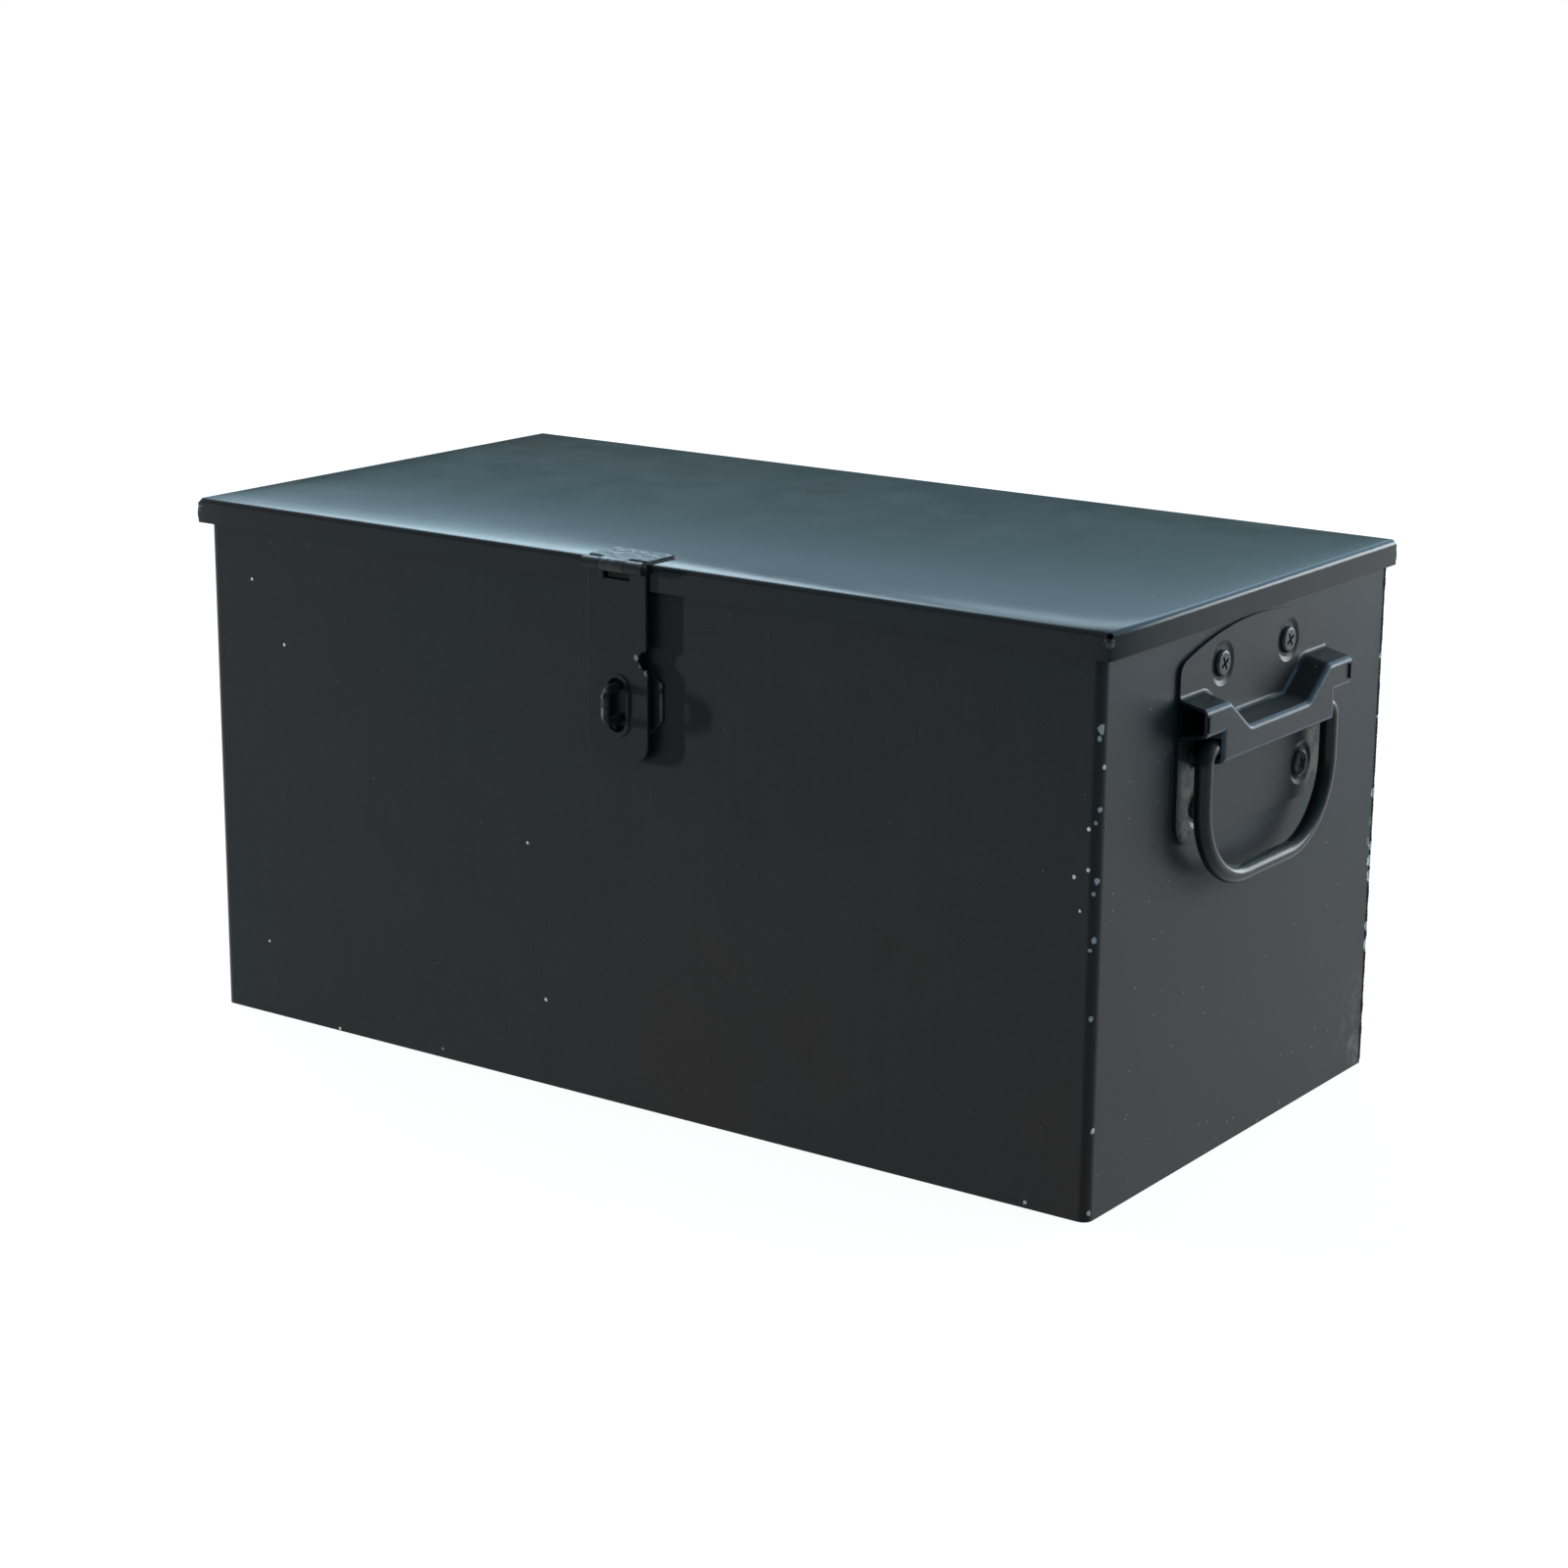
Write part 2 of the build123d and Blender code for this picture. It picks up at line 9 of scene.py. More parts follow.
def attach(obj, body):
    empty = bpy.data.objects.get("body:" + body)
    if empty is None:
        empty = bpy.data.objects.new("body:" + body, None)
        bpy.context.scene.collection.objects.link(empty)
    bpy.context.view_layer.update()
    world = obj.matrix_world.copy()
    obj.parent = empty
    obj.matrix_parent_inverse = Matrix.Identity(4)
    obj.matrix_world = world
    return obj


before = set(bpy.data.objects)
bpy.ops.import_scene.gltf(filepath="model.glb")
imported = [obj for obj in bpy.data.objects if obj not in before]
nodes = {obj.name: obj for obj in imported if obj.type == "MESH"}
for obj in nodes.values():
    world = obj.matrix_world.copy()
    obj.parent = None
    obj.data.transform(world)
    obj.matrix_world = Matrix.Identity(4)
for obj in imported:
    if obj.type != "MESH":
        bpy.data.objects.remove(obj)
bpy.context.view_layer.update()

# ----------------------------------------------------------------------------- body: front and ends
# One sheet of 1.2 mm steel, bent round the two front corners, with its rim folded inwards. It is
# brushed all over with a dark blue-grey enamel, which has chipped to a pale primer along the bends.

MM = 0.001
WALL_X, WALL_Y = 250 * MM, 128 * MM
ENAMEL_COOL = (0.032, 0.040, 0.044)
ENAMEL_WARM = (0.044, 0.041, 0.041)
PRIMER = (0.95, 0.91, 0.86)
SMEAR = (0.16, 0.165, 0.16)
PEEL_HEIGHT = 0.03 * MM
CHIP_DEPTH = 0.06 * MM


class Value:
    """A node's output. Python's operators on it add Math nodes."""

    def __init__(self, shader, socket):
        self.shader = shader
        self.socket = socket

    def math(self, operation, *values):
        inputs = dict(enumerate(values))
        return self.shader.add("ShaderNodeMath", inputs, operation=operation)

    def __add__(self, other):
        return self.math("ADD", self, other)

    def __sub__(self, other):
        return self.math("SUBTRACT", self, other)

    def __rsub__(self, other):
        return self.math("SUBTRACT", other, self)

    def __mul__(self, other):
        return self.math("MULTIPLY", self, other)

    def __truediv__(self, other):
        return self.math("DIVIDE", self, other)

    def __pow__(self, other):
        return self.math("POWER", self, other)

    def __abs__(self):
        return self.math("ABSOLUTE", self)

    def __gt__(self, other):
        return self.math("GREATER_THAN", self, other)

    __radd__ = __add__
    __rmul__ = __mul__

    def exp(self):
        return self.math("EXPONENT", self)

    def least(self, other):
        return self.math("MINIMUM", self, other)

    def most(self, other):
        return self.math("MAXIMUM", self, other)

    def ease(self, low, high):
        """0 at low, 1 at high, and smooth between them."""
        inputs = {"Value": self, "From Min": low, "From Max": high}
        return self.shader.add("ShaderNodeMapRange", inputs, interpolation_type="SMOOTHSTEP")

    def spread(self, low, high):
        """A value from 0 to 1, spread from low to high."""
        return self * (high - low) + low


class Shader:
    """The nodes of a material or a world, and the points that they paint, in metres."""

    def __init__(self, owner, points="Object"):
        self.owner = owner
        owner.use_nodes = True
        self.tree = owner.node_tree
        self.tree.nodes.clear()
        self.point = self.add("ShaderNodeTexCoord", {}, points)
        xyz = self.add("ShaderNodeSeparateXYZ", {"Vector": self.point}, None)
        self.x, self.y, self.z = (Value(self, xyz.outputs[axis]) for axis in "XYZ")

    def add(self, kind, inputs, output=0, **settings):
        """Add a node, make its settings, fill its sockets and return one output."""
        node = self.tree.nodes.new(kind)
        for setting, value in settings.items():
            if setting == "stops":
                ramp = node.color_ramp.elements
                while len(ramp) < len(value):
                    ramp.new(0.5)
                for stop, (place, colour) in zip(ramp, value):
                    stop.position = place
                    stop.color = (*colour, 1)
            else:
                setattr(node, setting, value)
        for name, value in inputs.items():
            if isinstance(value, Value):
                self.tree.links.new(value.socket, node.inputs[name])
            elif hasattr(value, "__len__") and len(value) == 3 and node.inputs[name].type == "RGBA":
                node.inputs[name].default_value = (*value, 1)
            else:
                node.inputs[name].default_value = value
        return node if output is None else Value(self, node.outputs[output])

    def vector(self, operation, *values, output=0):
        """Vector Math on points and on lengths along the axes."""
        inputs = dict(enumerate(values))
        return self.add("ShaderNodeVectorMath", inputs, output, operation=operation)

    def moved(self, shift, stretch=(1, 1, 1)):
        """The points, stretched along the axes and moved, so that each finish is cut elsewhere."""
        inputs = {"Vector": self.point, "Scale": stretch, "Location": shift}
        return self.add("ShaderNodeMapping", inputs)

    def noise(self, per_metre, detail=2.0, point=None, roughness=0.5):
        """Cloudy noise from 0 to 1, with about so many clouds to the metre."""
        inputs = {
            "Vector": point or self.point,
            "Scale": per_metre,
            "Detail": detail,
            "Roughness": roughness,
        }
        return self.add("ShaderNodeTexNoise", inputs, "Fac")

    def grey(self, level):
        """A number as a colour."""
        return self.add("ShaderNodeCombineColor", {"Red": level, "Green": level, "Blue": level})

    def mix(self, factor, first, second, blend="MIX"):
        """Two colours, mixed by a factor."""
        inputs = {"Factor": factor, 6: first, 7: second}
        return self.add("ShaderNodeMix", inputs, 2, data_type="RGBA", blend_type=blend)

    def bumped(self, height):
        """The normal of a surface with this height, in metres."""
        return self.add("ShaderNodeBump", {"Height": height, "Strength": 1.0, "Distance": 1.0})

    def finish(self, surface, kind="ShaderNodeOutputMaterial"):
        """Send a surface to the output, and return the finished material or world."""
        self.add(kind, {"Surface": surface}, None)
        return self.owner


def specks(shader, per_metre, share, radius, shift=0.0):
    """Small round flaws, at random places: a share of the cells of a loose grid have one each."""
    point = shader.moved((shift, 0.7 * shift, 1.3 * shift))
    wobble = shader.noise(900, 1, point)
    cells = {"Vector": point, "Scale": per_metre}
    middle = shader.add("ShaderNodeTexVoronoi", cells, "Distance") / per_metre
    chance = shader.add("ShaderNodeTexVoronoi", cells, "Color")
    chance = shader.add("ShaderNodeSeparateColor", {"Color": chance}, None)
    here = Value(shader, chance.outputs["Red"]) > 1 - share
    size = Value(shader, chance.outputs["Green"]).spread(0.35 * radius, radius)
    edge = middle + wobble.spread(-0.5 * radius, 0.5 * radius)
    return (edge / size).ease(1.15, 0.85) * here


def placed_chips(shader, chips):
    """Ragged chips at given places, each with its half sizes along the axes, in millimetres."""
    wobble = shader.noise(700, 2).spread(-0.55, 0.55)
    nearest = None
    for place, half in chips:
        away = shader.vector("SUBTRACT", shader.point, Vector(place) * MM)
        away = shader.vector("DIVIDE", away, Vector(half) * MM)
        away = shader.vector("LENGTH", away, output="Value")
        nearest = away if nearest is None else nearest.least(away)
    return (nearest + wobble).ease(1.1, 0.8)


def enamel(
    name,
    seed,
    wear=None,
    swell=None,
    streaks=False,
    roughness=0.36,
    specular=0.10,
    tint=1.0,
):
    """Brushed dark enamel, with a faint change of tint, orange peel, rubbed patches and flaws.

    wear(shader, colour) gives the piece's colour with its worn places and any painted light, and
    its chips or None.
    swell(shader) gives the height of the sheet under the enamel.
    """
    shader = Shader(bpy.data.materials.new(name))
    place = shader.moved((seed, 2 * seed, 3 * seed))
    cloud = shader.noise(5, 3, place)
    grain = shader.noise(1100, 2, place, 0.6)
    patch = shader.noise(38, 4, place, 0.6)
    colour = shader.mix(cloud.ease(0.3, 0.7), ENAMEL_COOL, ENAMEL_WARM)
    tone = grain.spread(0.72, 1.28) * patch.spread(0.88, 1.12) * tint
    if streaks:
        brushed = shader.moved((seed, 0, 0), stretch=(260, 260, 9))
        tone = tone * shader.noise(1, 2, brushed).spread(0.95, 1.05)
    colour = shader.mix(1.0, colour, shader.grey(tone), "MULTIPLY")
    dust = specks(shader, per_metre=420, share=0.012, radius=0.4 * MM, shift=3.0 + seed)
    colour = shader.mix(dust * 0.3, colour, PRIMER)
    chips = specks(shader, per_metre=24, share=0.15, radius=0.9 * MM, shift=seed)
    if wear is not None:
        colour, marks = wear(shader, colour)
        if marks is not None:
            chips = chips.most(marks)
    colour = shader.mix(chips, colour, PRIMER)
    peel = shader.noise(330, 2, place) * 0.7 + shader.noise(60, 2, place) * 0.6
    height = peel * PEEL_HEIGHT - chips * CHIP_DEPTH
    if swell is not None:
        height = height + swell(shader)
    rough = patch.spread(-0.07, 0.07) + grain.spread(-0.03, 0.03) + roughness
    inputs = {
        "Base Color": colour,
        "Roughness": rough + chips * 0.25,
        "Specular IOR Level": specular,
        "Normal": shader.bumped(height),
    }
    return shader.finish(shader.add("ShaderNodeBsdfPrincipled", inputs))


def dress(node, material):
    """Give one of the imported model's pieces its finish."""
    piece = nodes[node]
    piece.data.materials.clear()
    piece.data.materials.append(material)


# The larger chips in millimetres, each with its place and half sizes: down the right front bend
# from the rim, then scattered over the front
WALL_CHIPS = [
    ((248.9, -126.7, 214.4), (1.5, 1.5, 2.3)),
    ((248.4, -127.0, 210.4), (1.0, 1.0, 1.2)),
    ((249.8, -124.9, 198.2), (1.0, 1.0, 1.2)),
    ((249.2, -126.2, 180.4), (1.1, 1.1, 1.3)),
    ((248.0, -127.3, 174.8), (0.8, 0.8, 1.0)),
    ((245.1, -128.0, 172.0), (0.9, 1.0, 0.9)),
    ((245.3, -128.0, 154.5), (0.9, 0.8, 0.9)),
    ((238.8, -128.0, 150.4), (0.9, 1.0, 0.9)),
    ((249.0, -126.5, 150.0), (1.2, 1.2, 1.5)),
    ((248.0, -127.3, 144.6), (0.9, 0.9, 1.0)),
    ((242.1, -128.0, 136.3), (0.7, 1.0, 0.7)),
    ((248.6, -126.8, 124.5), (1.2, 1.2, 1.6)),
    ((247.2, -127.7, 120.2), (0.9, 0.9, 0.9)),
    ((248.4, -126.9, 90.4), (1.1, 1.1, 1.3)),
    ((249.8, -124.9, 40.8), (1.2, 1.2, 1.4)),
    ((249.5, -125.5, 4.0), (1.1, 1.1, 1.2)),
    ((-223.2, -128.0, 218.8), (0.8, 1.0, 0.8)),
    ((-203.3, -128.0, 189.2), (0.8, 1.0, 0.8)),
    ((-53.4, -128.0, 115.8), (0.8, 1.0, 0.8)),
    ((-43.4, -128.0, 41.7), (0.9, 1.0, 0.9)),
    ((-219.5, -128.0, 37.5), (0.7, 1.0, 0.7)),
]
# More of them, down the right rear seam
REAR_CHIPS = [
    ((250.2, 128.4, 200.5), (1.8, 2.2, 1.8)),
    ((250.2, 128.4, 171.4), (1.6, 2.0, 1.5)),
    ((250.2, 128.4, 134.5), (1.8, 2.8, 2.8)),
    ((250.2, 128.2, 108.5), (1.6, 2.6, 2.0)),
    ((250.2, 128.2, 101.0), (1.8, 3.2, 3.0)),
    ((250.2, 128.2, 93.5), (1.8, 2.6, 3.2)),
    ((250.2, 128.4, 68.5), (1.8, 2.6, 2.6)),
    ((250.2, 128.4, 59.5), (1.8, 2.2, 3.6)),
]


def rear_chips(shader):
    """Chips along the two upright seams at the back, more of them lower down."""
    near = (WALL_X - abs(shader.x) + WALL_Y - shader.y).ease(6 * MM, 0.5 * MM)
    low = specks(shader, per_metre=110, share=0.45, radius=2.6 * MM, shift=5.0)
    low = low * shader.z.ease(140 * MM, 70 * MM)
    spread = specks(shader, per_metre=70, share=0.35, radius=2.6 * MM, shift=9.0)
    return (near * low.most(spread)).most(placed_chips(shader, REAR_CHIPS))


def wall_wear(shader, colour):
    """Chips down the bends, along the bottom edges and round the rear seams, and rubbed ends."""
    from_end = WALL_X - abs(shader.x)
    from_face = WALL_Y - abs(shader.y)
    left_bend = (from_end + from_face).ease(4 * MM, 0.5 * MM)
    left_bend = left_bend * shader.y.ease(-50 * MM, -60 * MM) * shader.x.ease(50 * MM, -50 * MM)
    left_bend = left_bend * specks(shader, per_metre=80, share=0.25, radius=1.6 * MM, shift=6.0)
    foot = specks(shader, per_metre=150, share=0.16, radius=1.3 * MM, shift=7.0)
    foot = foot * shader.z.ease(6 * MM, 1.5 * MM)
    chips = placed_chips(shader, WALL_CHIPS).most(rear_chips(shader)).most(left_bend).most(foot)
    # a smear just in front of the rear seams, low on each end
    smear = from_end.ease(4 * MM, 2 * MM) * from_face.ease(30 * MM, 10 * MM)
    smear = smear * shader.y.ease(50 * MM, 60 * MM) * shader.z.ease(60 * MM, 10 * MM)
    smear = smear * shader.noise(90, 4, roughness=0.7).ease(0.46, 0.66)
    return shader.mix(smear * 0.7, colour, SMEAR), chips


wall_enamel = enamel("wall_enamel", 0.0, wall_wear, streaks=True)
dress("body_wrap", wall_enamel)

# ----------------------------------------------------------------------------------- back and floor
# Two more sheets. The back is welded down its two upright seams, from outside, and painted over.
# The floor is a shallow pan, welded in from below and ground flush.

dress("back_panel", wall_enamel)
dress("floor_pan", wall_enamel)

# A run of weld is a tube with a ring of points at each step along it, lumpy and rippled
BEAD_SIDES = 8
BEAD_STEP = 0.9 * MM
LUMPS_PER_METRE = 160
LUMP_SHARE, RIPPLE_SHARE = 0.30, 0.07
RIPPLE_TURN = 2.4


def bead(mesh, start, end, radius, seed):
    """A lumpy run of weld between two points, as a closed tube with rounded ends."""
    start, end = Vector(start) * MM, Vector(end) * MM
    length = (end - start).length
    along = (end - start).normalized()
    across = along.orthogonal().normalized()
    other = along.cross(across)
    steps = round(length / BEAD_STEP)
    turns = [2 * math.pi * side / BEAD_SIDES for side in range(BEAD_SIDES)]
    rings = []
    for step in range(steps + 1):
        middle = start.lerp(end, step / steps)
        lump = noise.noise(Vector((seed, 0, LUMPS_PER_METRE * length * step / steps)))
        ripple = math.sin(RIPPLE_TURN * step)
        taper = math.sqrt(min(1.0, 0.08 + 0.5 * min(step, steps - step)))
        size = radius * MM * (1 + LUMP_SHARE * lump + RIPPLE_SHARE * ripple) * taper
        around = [across * math.cos(turn) + other * math.sin(turn) for turn in turns]
        rings.append([mesh.verts.new(middle + outwards * size) for outwards in around])
    for low, high in zip(rings, rings[1:]):
        for side in range(BEAD_SIDES):
            after = (side + 1) % BEAD_SIDES
            mesh.faces.new((low[side], low[after], high[after], high[side]))
    mesh.faces.new(reversed(rings[0]))
    mesh.faces.new(rings[-1])


def weld(name, beads, material, body):
    """A piece made of runs of weld that rides on a body. Each has a start, end, radius and seed."""
    mesh = bmesh.new()
    for start, end, radius, seed in beads:
        bead(mesh, start, end, radius, seed)
    bmesh.ops.recalc_face_normals(mesh, faces=mesh.faces)
    data = bpy.data.meshes.new(name)
    mesh.to_mesh(data)
    mesh.free()
    data.shade_smooth()
    data.materials.append(material)
    piece = bpy.data.objects.new(name, data)
    bpy.context.scene.collection.objects.link(piece)
    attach(piece, body)


def seam_wear(shader, colour):
    """The same chips as on the walls beside the seam."""
    return colour, rear_chips(shader)


seam_enamel = enamel("seam_enamel", 4.1, seam_wear)
# one run up the whole of each rear seam
for side, where in ((-1, "left"), (1, "right")):
    seam = ((side * 249.2, 127.6, 0.4), (side * 249.2, 127.6, 253.0), 1.25, 2.0 + side)
    weld(f"rear_weld_{where}", [seam], seam_enamel, "box")

# ---------------------------------------------------------------------------------------------- lid
# A shallow pan of 1.2 mm sheet: its edges are folded down, each corner is welded below the small
# hole where two folds meet, and the folds pull the sheet down a little. A painted highlight lies
# over the end folds, and painted shade darkens the skirt behind the hasp.

PAINTED_HIGHLIGHT = (0.13, 0.16, 0.20)
SKIRT = (0.025, 0.034, 0.037)
GAP_SHADE = (0.004, 0.004, 0.004)
LID_FRONT, LID_BACK, LID_END = -131.6 * MM, 129.8 * MM, 254.8 * MM
# how the sheet falls towards the folds: its slope at the fold, and how far in the fall reaches
FRONT_FALLS = [(0.22, 42 * MM), (0.16, 8 * MM)]
BACK_FALLS = [(0.03, 50 * MM)]
END_FALLS = [(0.03, 40 * MM), (0.14, 7 * MM)]
CORNER_HOLE = (253.6, -130.6, 251.6)
HASP_X = 4 * MM


def lid_swell(shader):
    """The height of the lid's sheet, which falls a little towards its folded edges."""
    fall = 0
    for from_fold, falls in (
        (shader.y - LID_FRONT, FRONT_FALLS),
        (LID_BACK - shader.y, BACK_FALLS),
        (LID_END - abs(shader.x), END_FALLS),
    ):
        for slope, reach in falls:
            fall = (from_fold / -reach).exp() * (slope * reach) + fall
    return fall * -1


def lid_wear_and_painted_light(shader, colour):
    """A darker skirt, painted highlights on the end folds, painted shade at the hasp, torn paint at
    the front holes.
    """
    out = abs(shader.x)
    skirt = shader.z.ease(254.0 * MM, 253.0 * MM)
    colour = shader.mix(skirt * 0.7, colour, SKIRT)
    # a painted highlight, bluish, along the top of each end fold
    end_fold = out.ease(250.5 * MM, 253.5 * MM) * shader.z.ease(253.0 * MM, 254.4 * MM)
    colour = shader.mix(end_fold * 0.6, colour, PAINTED_HIGHLIGHT)
    # painted shade on the front skirt, in the strap's window below the leaf's knuckle, where the
    # gap is in shadow
    window = abs(shader.x - HASP_X).ease(7.8 * MM, 7.0 * MM)
    window = window * shader.z.ease(246.6 * MM, 247.4 * MM) * shader.z.ease(252.4 * MM, 251.6 * MM)
    gap_shade = window * shader.y.ease(-131.0 * MM, -131.4 * MM)
    colour = shader.mix(gap_shade * 0.95, colour, GAP_SHADE)
    # a light crescent of primer under the hole at each front corner
    squares = 0
    for place, hole in zip((out, shader.y, shader.z), CORNER_HOLE):
        away = (place - hole * MM) * (1 / MM)
        squares = away * away + squares
    torn = (squares**0.5).ease(3.0, 2.0) * shader.z.ease(253.6 * MM, 252.2 * MM)
    torn = torn * shader.noise(500, 2).ease(0.40, 0.62)
    return colour, torn * 0.22


lid_enamel = enamel("lid_enamel", 1.7, lid_wear_and_painted_light, lid_swell, roughness=0.21, tint=0.85)
dress("lid_pan", lid_enamel)

# one short run at each corner, from the skirt's lower edge up to the hole
corner_beads = [
    ((side * 254.1, y, 244.6), (side * 254.1, y, 251.2), 0.6, 5.0 + side + y)
    for side in (-1, 1)
    for y in (-130.9, 129.1)
]
weld("lid_corner_welds", corner_beads, lid_enamel, "lid")

# -------------------------------------------------------------------------------- hinges, hasp, eye
# Two pairs of welded-on hinge leaves, the hasp's leaf and strap, and the staple on its plate, all
# of stamped or bent steel and painted over with the box. The strap and padlocks have knocked the
# paint off the staple's front, painted highlights lie on edges of the strap's notch and the
# staple's plate, and the paint on the hasp's leaf is thick and lumpy.

WEAR_AND_HIGHLIGHT = (0.40, 0.35, 0.30)
# painted highlights in millimetres, on edges that catch the light: the slope of the strap's notch,
# then a corner and the right edge of the staple's plate
EDGE_HIGHLIGHTS = [
    ((14.8, -133.4, 213.4), (1.3, 0.9, 1.3)),
    ((17.6, -133.4, 210.6), (1.4, 0.9, 1.5)),
    ((20.6, -133.4, 207.2), (1.2, 0.9, 1.6)),
    ((24.0, -129.5, 206.4), (2.6, 0.8, 0.9)),
    ((25.7, -129.5, 203.0), (0.9, 0.8, 3.0)),
    ((25.8, -129.5, 192.0), (0.7, 0.8, 7.0)),
    ((25.6, -129.5, 182.5), (0.8, 0.8, 2.2)),
]
LUMP_HEIGHT = 0.6 * MM
LEAF_SLOPE = 0.14


def hardware_wear_and_highlights(shader, colour):
    """Painted highlights on edges that catch the light, and paint worn off the staple's front."""
    eye = shader.y.ease(-140.8 * MM, -142.8 * MM) * abs(shader.x - HASP_X).ease(3 * MM, 2 * MM)
    eye = eye * shader.noise(260, 3).ease(0.42, 0.64) * 0.7
    marks = placed_chips(shader, EDGE_HIGHLIGHTS).most(eye)
    return shader.mix(marks * 0.8, colour, WEAR_AND_HIGHLIGHT), None


def leaf_swell(shader):
    """The hasp's leaf dips towards its knuckles, and its paint is thick and lumpy."""
    return shader.noise(260, 3) * LUMP_HEIGHT + (shader.y - LID_FRONT) * LEAF_SLOPE


hardware_enamel = enamel("hardware_enamel", 2.9, hardware_wear_and_highlights, roughness=0.34, tint=0.9)
# the leaf's enamel is lightened by a third, a painted sheen for the sky that it reflects
lightened_leaf_enamel = enamel("lightened_leaf_enamel", 6.3, None, leaf_swell, roughness=0.24, specular=0.14, tint=1.3)
for name in nodes:
    if name == "hasp_leaf":
        dress(name, lightened_leaf_enamel)
    elif name.endswith("leaf") or name in ("hasp_strap", "staple_plate", "staple_loop"):
        dress(name, hardware_enamel)
    elif name.endswith("pin"):
        dress(name, hardware_enamel)

# one run along each side of the leaf, on top of the lid
leaf_beads = [((x, -133.4, 255.7), (x, -112.6, 255.7), 0.8, 7.7 + x) for x in (-12.3, 20.3)]
weld("hasp_leaf_weld", leaf_beads, lightened_leaf_enamel, "lid")

# --------------------------------------------------------------------------------- carrying handles
# A stamped plate on each end carries a D-shaped ring of 8 mm bar. The ring's legs have rubbed the
# plate behind them to a dull grey, and hands have polished the ring's paint.

RUBBED = (0.115, 0.115, 0.095)
SPOT = (0.012, 0.012, 0.012)
LEG_Y, BRIDGE_FOOT_Y = 58 * MM, 26 * MM


def plate_wear_and_highlights(shader, colour):
    """Grey strips with dark spots behind the ring's legs, and painted highlights on the bridge's
    rim and feet.
    """
    out = abs(shader.x)
    mottle = shader.noise(120, 4, roughness=0.65)
    strip = abs(abs(shader.y) - LEG_Y).ease(8 * MM, 4 * MM) * out.ease(252.4 * MM, 251.9 * MM)
    strip = strip * shader.z.ease(150 * MM, 156 * MM) * shader.z.ease(192 * MM, 186 * MM)
    colour = shader.mix(strip * mottle.ease(0.40, 0.56), colour, RUBBED)
    spots = strip * specks(shader, per_metre=150, share=0.5, radius=2.2 * MM, shift=11.0)
    # painted highlights along the bridge's rim and along the feet that it rises from
    rim = out.ease(262.8 * MM, 264.0 * MM) * out.ease(265.25 * MM, 265.0 * MM)
    foot = out.ease(251.8 * MM, 252.2 * MM) * out.ease(253.4 * MM, 252.8 * MM)
    foot = foot * abs(abs(shader.y) - BRIDGE_FOOT_Y).ease(14 * MM, 10 * MM)
    foot = foot * shader.z.ease(188 * MM, 192 * MM)
    colour = shader.mix(rim.most(foot) * mottle.spread(0.5, 1.0), colour, PAINTED_HIGHLIGHT)
    return shader.mix(spots * 0.9, colour, SPOT), None


plate_enamel = enamel("plate_enamel", 3.3, plate_wear_and_highlights, roughness=0.33)
ring_enamel = enamel("ring_enamel", 5.2, roughness=0.27, specular=0.15, tint=0.75)
for side in ("left", "right"):
    dress(f"handle_{side}_plate", plate_enamel)
    dress(f"handle_{side}_ring", ring_enamel)

# --------------------------------------------------------------------------------- handle fasteners
# Four pan-head machine screws hold each plate. Their heads are painted with the box, in a lightened
# copy of its enamel that paints in light their domed faces miss, and their washers and nuts,
# inside, are dull zinc.

ZINC = (0.55, 0.56, 0.57)
ZINC_DULL = (0.36, 0.37, 0.37)
ZINC_GRAIN = 0.01 * MM


def zinc():
    """Dull plating, clouded and lightly spangled."""
    shader = Shader(bpy.data.materials.new("zinc_plate"))
    cloud = shader.noise(160, 4, roughness=0.6)
    colour = shader.mix(cloud.ease(0.35, 0.7), ZINC, ZINC_DULL)
    inputs = {
        "Base Color": colour,
        "Metallic": 1.0,
        "Roughness": cloud.spread(0.30, 0.52),
        "Normal": shader.bumped(shader.noise(900, 2) * ZINC_GRAIN),
    }
    return shader.finish(shader.add("ShaderNodeBsdfPrincipled", inputs))


zinc_plate = zinc()
# the heads' enamel is lightened by half: painted light on the domed faces
lightened_screw_enamel = enamel("lightened_screw_enamel", 8.4, roughness=0.30, specular=0.20, tint=1.5)
for side in ("left", "right"):
    dress(f"handle_{side}_screws", lightened_screw_enamel)
    dress(f"handle_{side}_washers", zinc_plate)
    dress(f"handle_{side}_nuts", zinc_plate)

# ---------------------------------------------------------------------------------- room and camera
# A plain pale floor under a white backdrop. A narrow low lamp on the left gives no gloss, a large
# soft one stands behind on the right, and cool ones hang overhead and behind.

FLOOR = (0.12, 0.12, 0.12)
FLOOR_SIZE = 30
FLOOR_DROP = 0.3 * MM
FLOOR_NEAR, FLOOR_FAR = 0.95, 1.0


def floor_finish():
    """Pale floor, which a camera, a reflection or glass sees as white; only shadows darken it."""
    shader = Shader(bpy.data.materials.new("pale_floor"))
    path = shader.add("ShaderNodeLightPath", {}, None)
    seen = Value(shader, path.outputs["Is Camera Ray"])
    for kind in ("Is Glossy Ray", "Is Transmission Ray"):
        seen = seen.most(Value(shader, path.outputs[kind]))
    plain = shader.add("ShaderNodeBsdfDiffuse", {"Color": FLOOR})
    # whiter from one metre out to four, so that the floor's end doesn't show against the backdrop
    white = (shader.x * shader.x + shader.y * shader.y).ease(1.0, 16.0)
    white = shader.grey(white.spread(FLOOR_NEAR, FLOOR_FAR))
    lit = shader.add("ShaderNodeEmission", {"Color": white, "Strength": 1.0})
    both = shader.add("ShaderNodeAddShader", {0: plain, 1: lit})
    return shader.finish(shader.add("ShaderNodeMixShader", {0: seen, 1: plain, 2: both}))


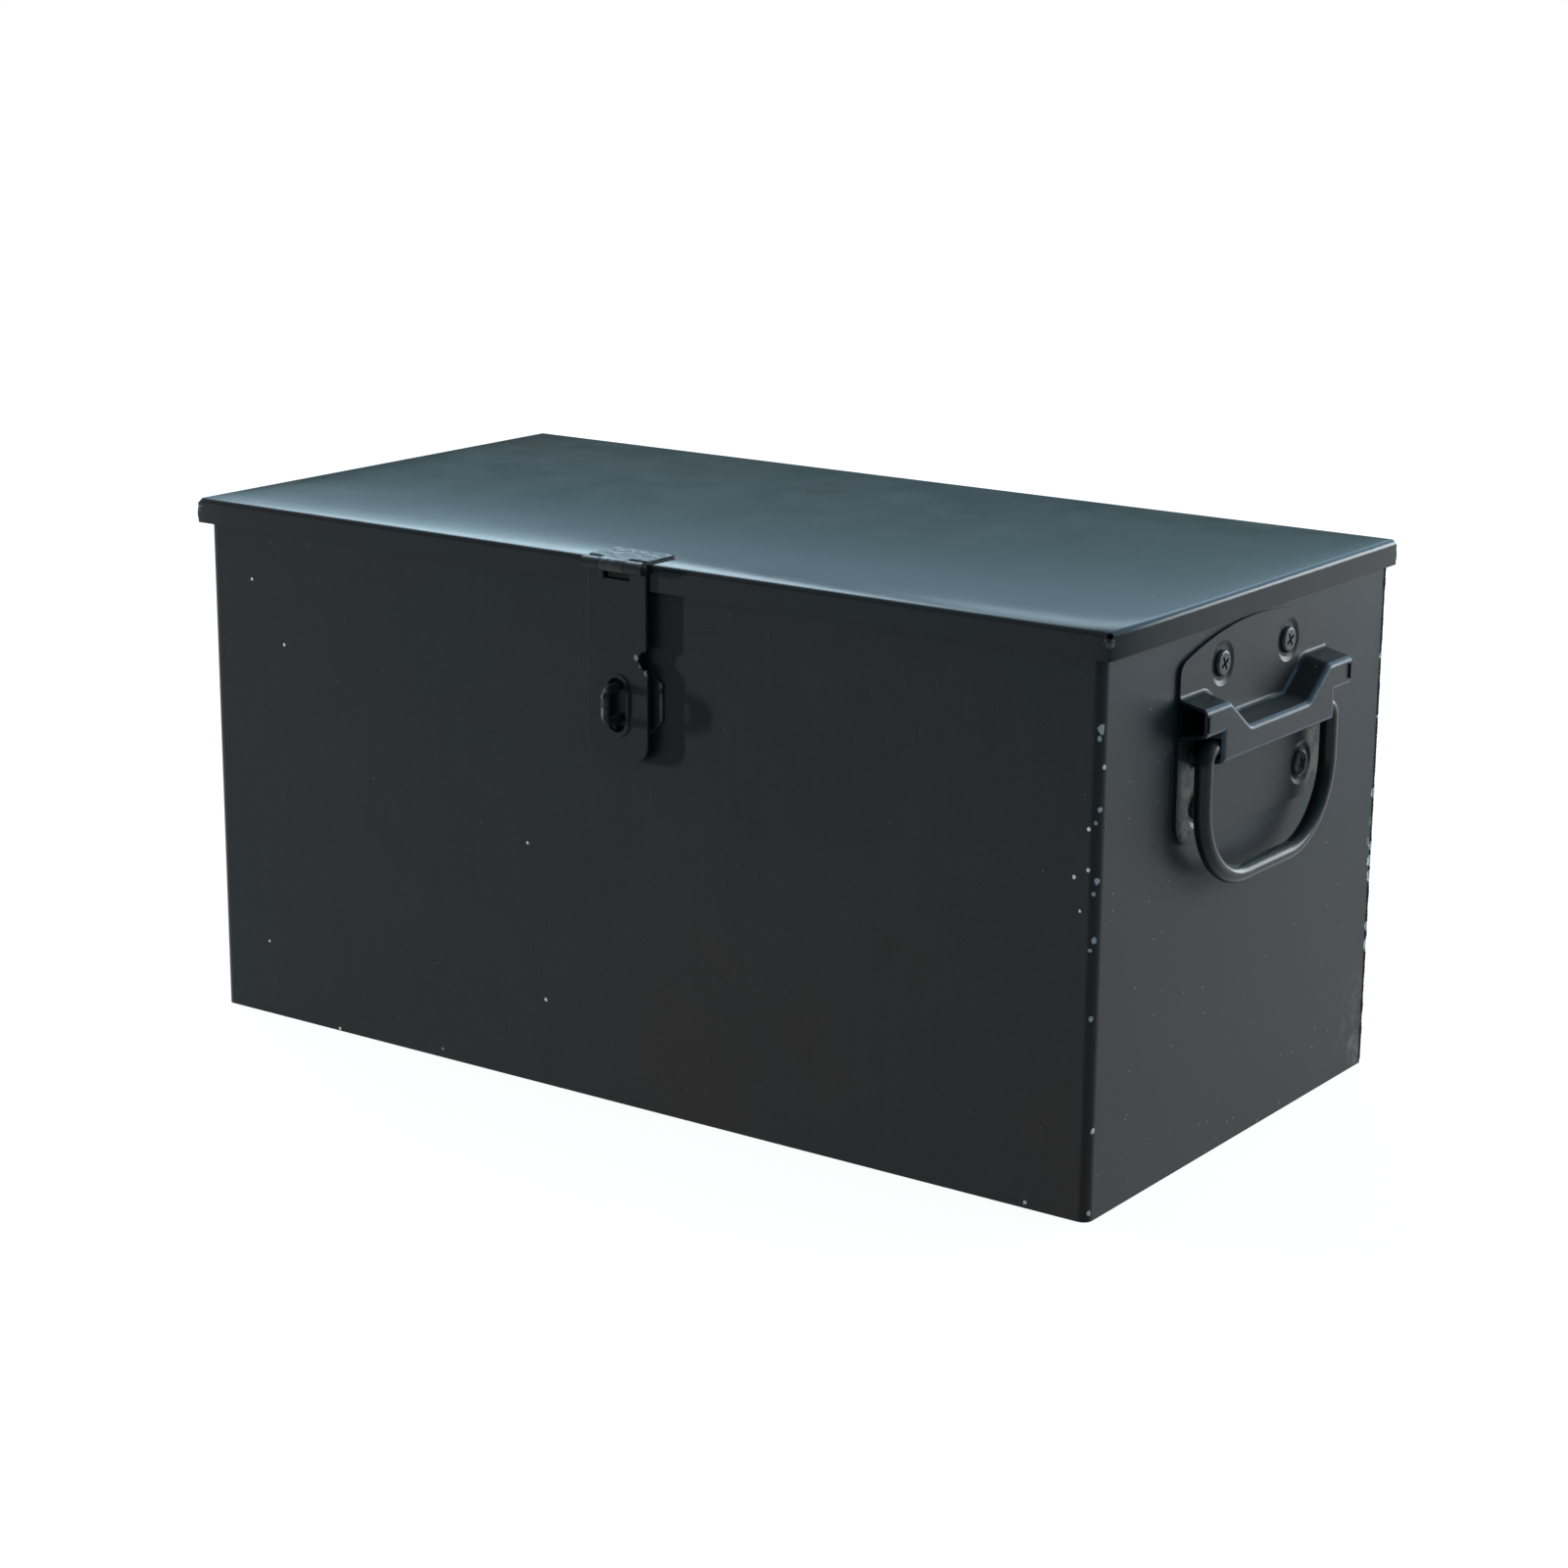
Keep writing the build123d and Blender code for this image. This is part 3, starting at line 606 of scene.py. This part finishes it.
bpy.ops.mesh.primitive_plane_add(size=FLOOR_SIZE, location=(0, 0, -FLOOR_DROP))
floor = bpy.context.object
floor.name = "floor"
floor.data.materials.append(floor_finish())

# The sky, by the sine of the height: dim and greenish at the horizon, pale blue higher up
SKY = [
    (0.00, (0.02, 0.04, 0.03)),
    (0.16, (0.02, 0.05, 0.035)),
    (0.30, (0.51, 0.86, 1.02)),
    (0.42, (0.66, 1.06, 1.32)),
    (0.60, (0.54, 0.74, 0.87)),
    (1.00, (0.20, 0.28, 0.33)),
]


def room():
    """The world: the sky, dimmer to the front and the far left, which a camera sees as white."""
    sky = Shader(bpy.data.worlds.new("room"), "Generated")
    colour = sky.add("ShaderNodeValToRGB", {"Fac": sky.z}, stops=SKY)
    front = sky.y.ease(-0.4, 0.5).spread(0.2, 1.0)
    left = sky.x.ease(-0.54, -0.40).spread(1.0, 1.25)
    colour = sky.mix(1.0, colour, sky.grey(front * left), "MULTIPLY")
    seen = Value(sky, sky.add("ShaderNodeLightPath", {}, None).outputs["Is Camera Ray"])
    light = sky.add("ShaderNodeBackground", {"Color": sky.mix(seen, colour, (1, 1, 1))})
    return sky.finish(light, "ShaderNodeOutputWorld")


bpy.context.scene.world = room()

BOX_MIDDLE = Vector((0, 0, 0.12))


def lamp(name, place, size, power, colour):
    """A soft lamp that faces the box, with its two sizes in metres and its power in watts."""
    light = bpy.data.lights.new(name, "AREA")
    light.shape = "RECTANGLE"
    light.size, light.size_y = size
    light.energy = power
    light.color = colour
    thing = bpy.data.objects.new(name, light)
    bpy.context.scene.collection.objects.link(thing)
    thing.location = place
    thing.rotation_euler = (BOX_MIDDLE - Vector(place)).to_track_quat("-Z", "Y").to_euler()
    return thing


left_lamp = lamp("left_lamp", (-3.8, -1.35, 0.25), (0.12, 0.5), 150, (1.0, 0.98, 0.97))
left_lamp.visible_glossy = False
lamp("right_lamp", (1.8, 2.9, 0.6), (2.0, 1.2), 92, (0.90, 0.97, 1.0))
lamp("sky_lamp", (-0.6, 2.4, 2.2), (2.2, 0.7), 26, (0.62, 0.85, 1.0))
lamp("high_lamp", (-2.0, 1.3, 2.4), (1.3, 1.3), 60, (0.66, 0.87, 1.0))
lamp("corner_lamp", (-2.3, 1.9, 1.75), (0.8, 0.5), 2.5, (0.6, 0.88, 1.0))
lamp("top_lamp", (-1.8, 0.1, 2.5), (1.4, 1.4), 40, (0.66, 0.87, 1.0))

# The camera: a long lens, a little above the box and to its right. It stands back from the point
# that it aims at, and a little across and below the line through it, in metres.
VIEW_TURN, VIEW_RISE, VIEW_ROLL = math.radians(34.771), math.radians(15.075), math.radians(0.597)
AIM = Vector((0, -3 * MM, 125 * MM))
VIEW_DISTANCE, VIEW_ACROSS, VIEW_BELOW = 1.650689, 0.02155, 0.010438
flat = math.cos(VIEW_RISE)
back = Vector((math.sin(VIEW_TURN) * flat, -math.cos(VIEW_TURN) * flat, math.sin(VIEW_RISE)))
level = Vector((math.cos(VIEW_TURN), math.sin(VIEW_TURN), 0))
upright = back.cross(level)
right = level * math.cos(VIEW_ROLL) + upright * math.sin(VIEW_ROLL)
up = upright * math.cos(VIEW_ROLL) - level * math.sin(VIEW_ROLL)
spot = AIM + right * VIEW_ACROSS - up * VIEW_BELOW + back * VIEW_DISTANCE
lens = bpy.data.cameras.new("camera")
lens.sensor_width = 36
lens.lens = 78.783
lens.shift_x = -0.02558
lens.shift_y = 0.01536
lens.clip_start = 0.05
camera = bpy.data.objects.new("camera", lens)
bpy.context.scene.collection.objects.link(camera)
camera.matrix_world = Matrix(
    (
        (right.x, up.x, back.x, spot.x),
        (right.y, up.y, back.y, spot.y),
        (right.z, up.z, back.z, spot.z),
        (0, 0, 0, 1),
    )
)
bpy.context.scene.camera = camera
bpy.context.scene.view_settings.view_transform = "Standard"
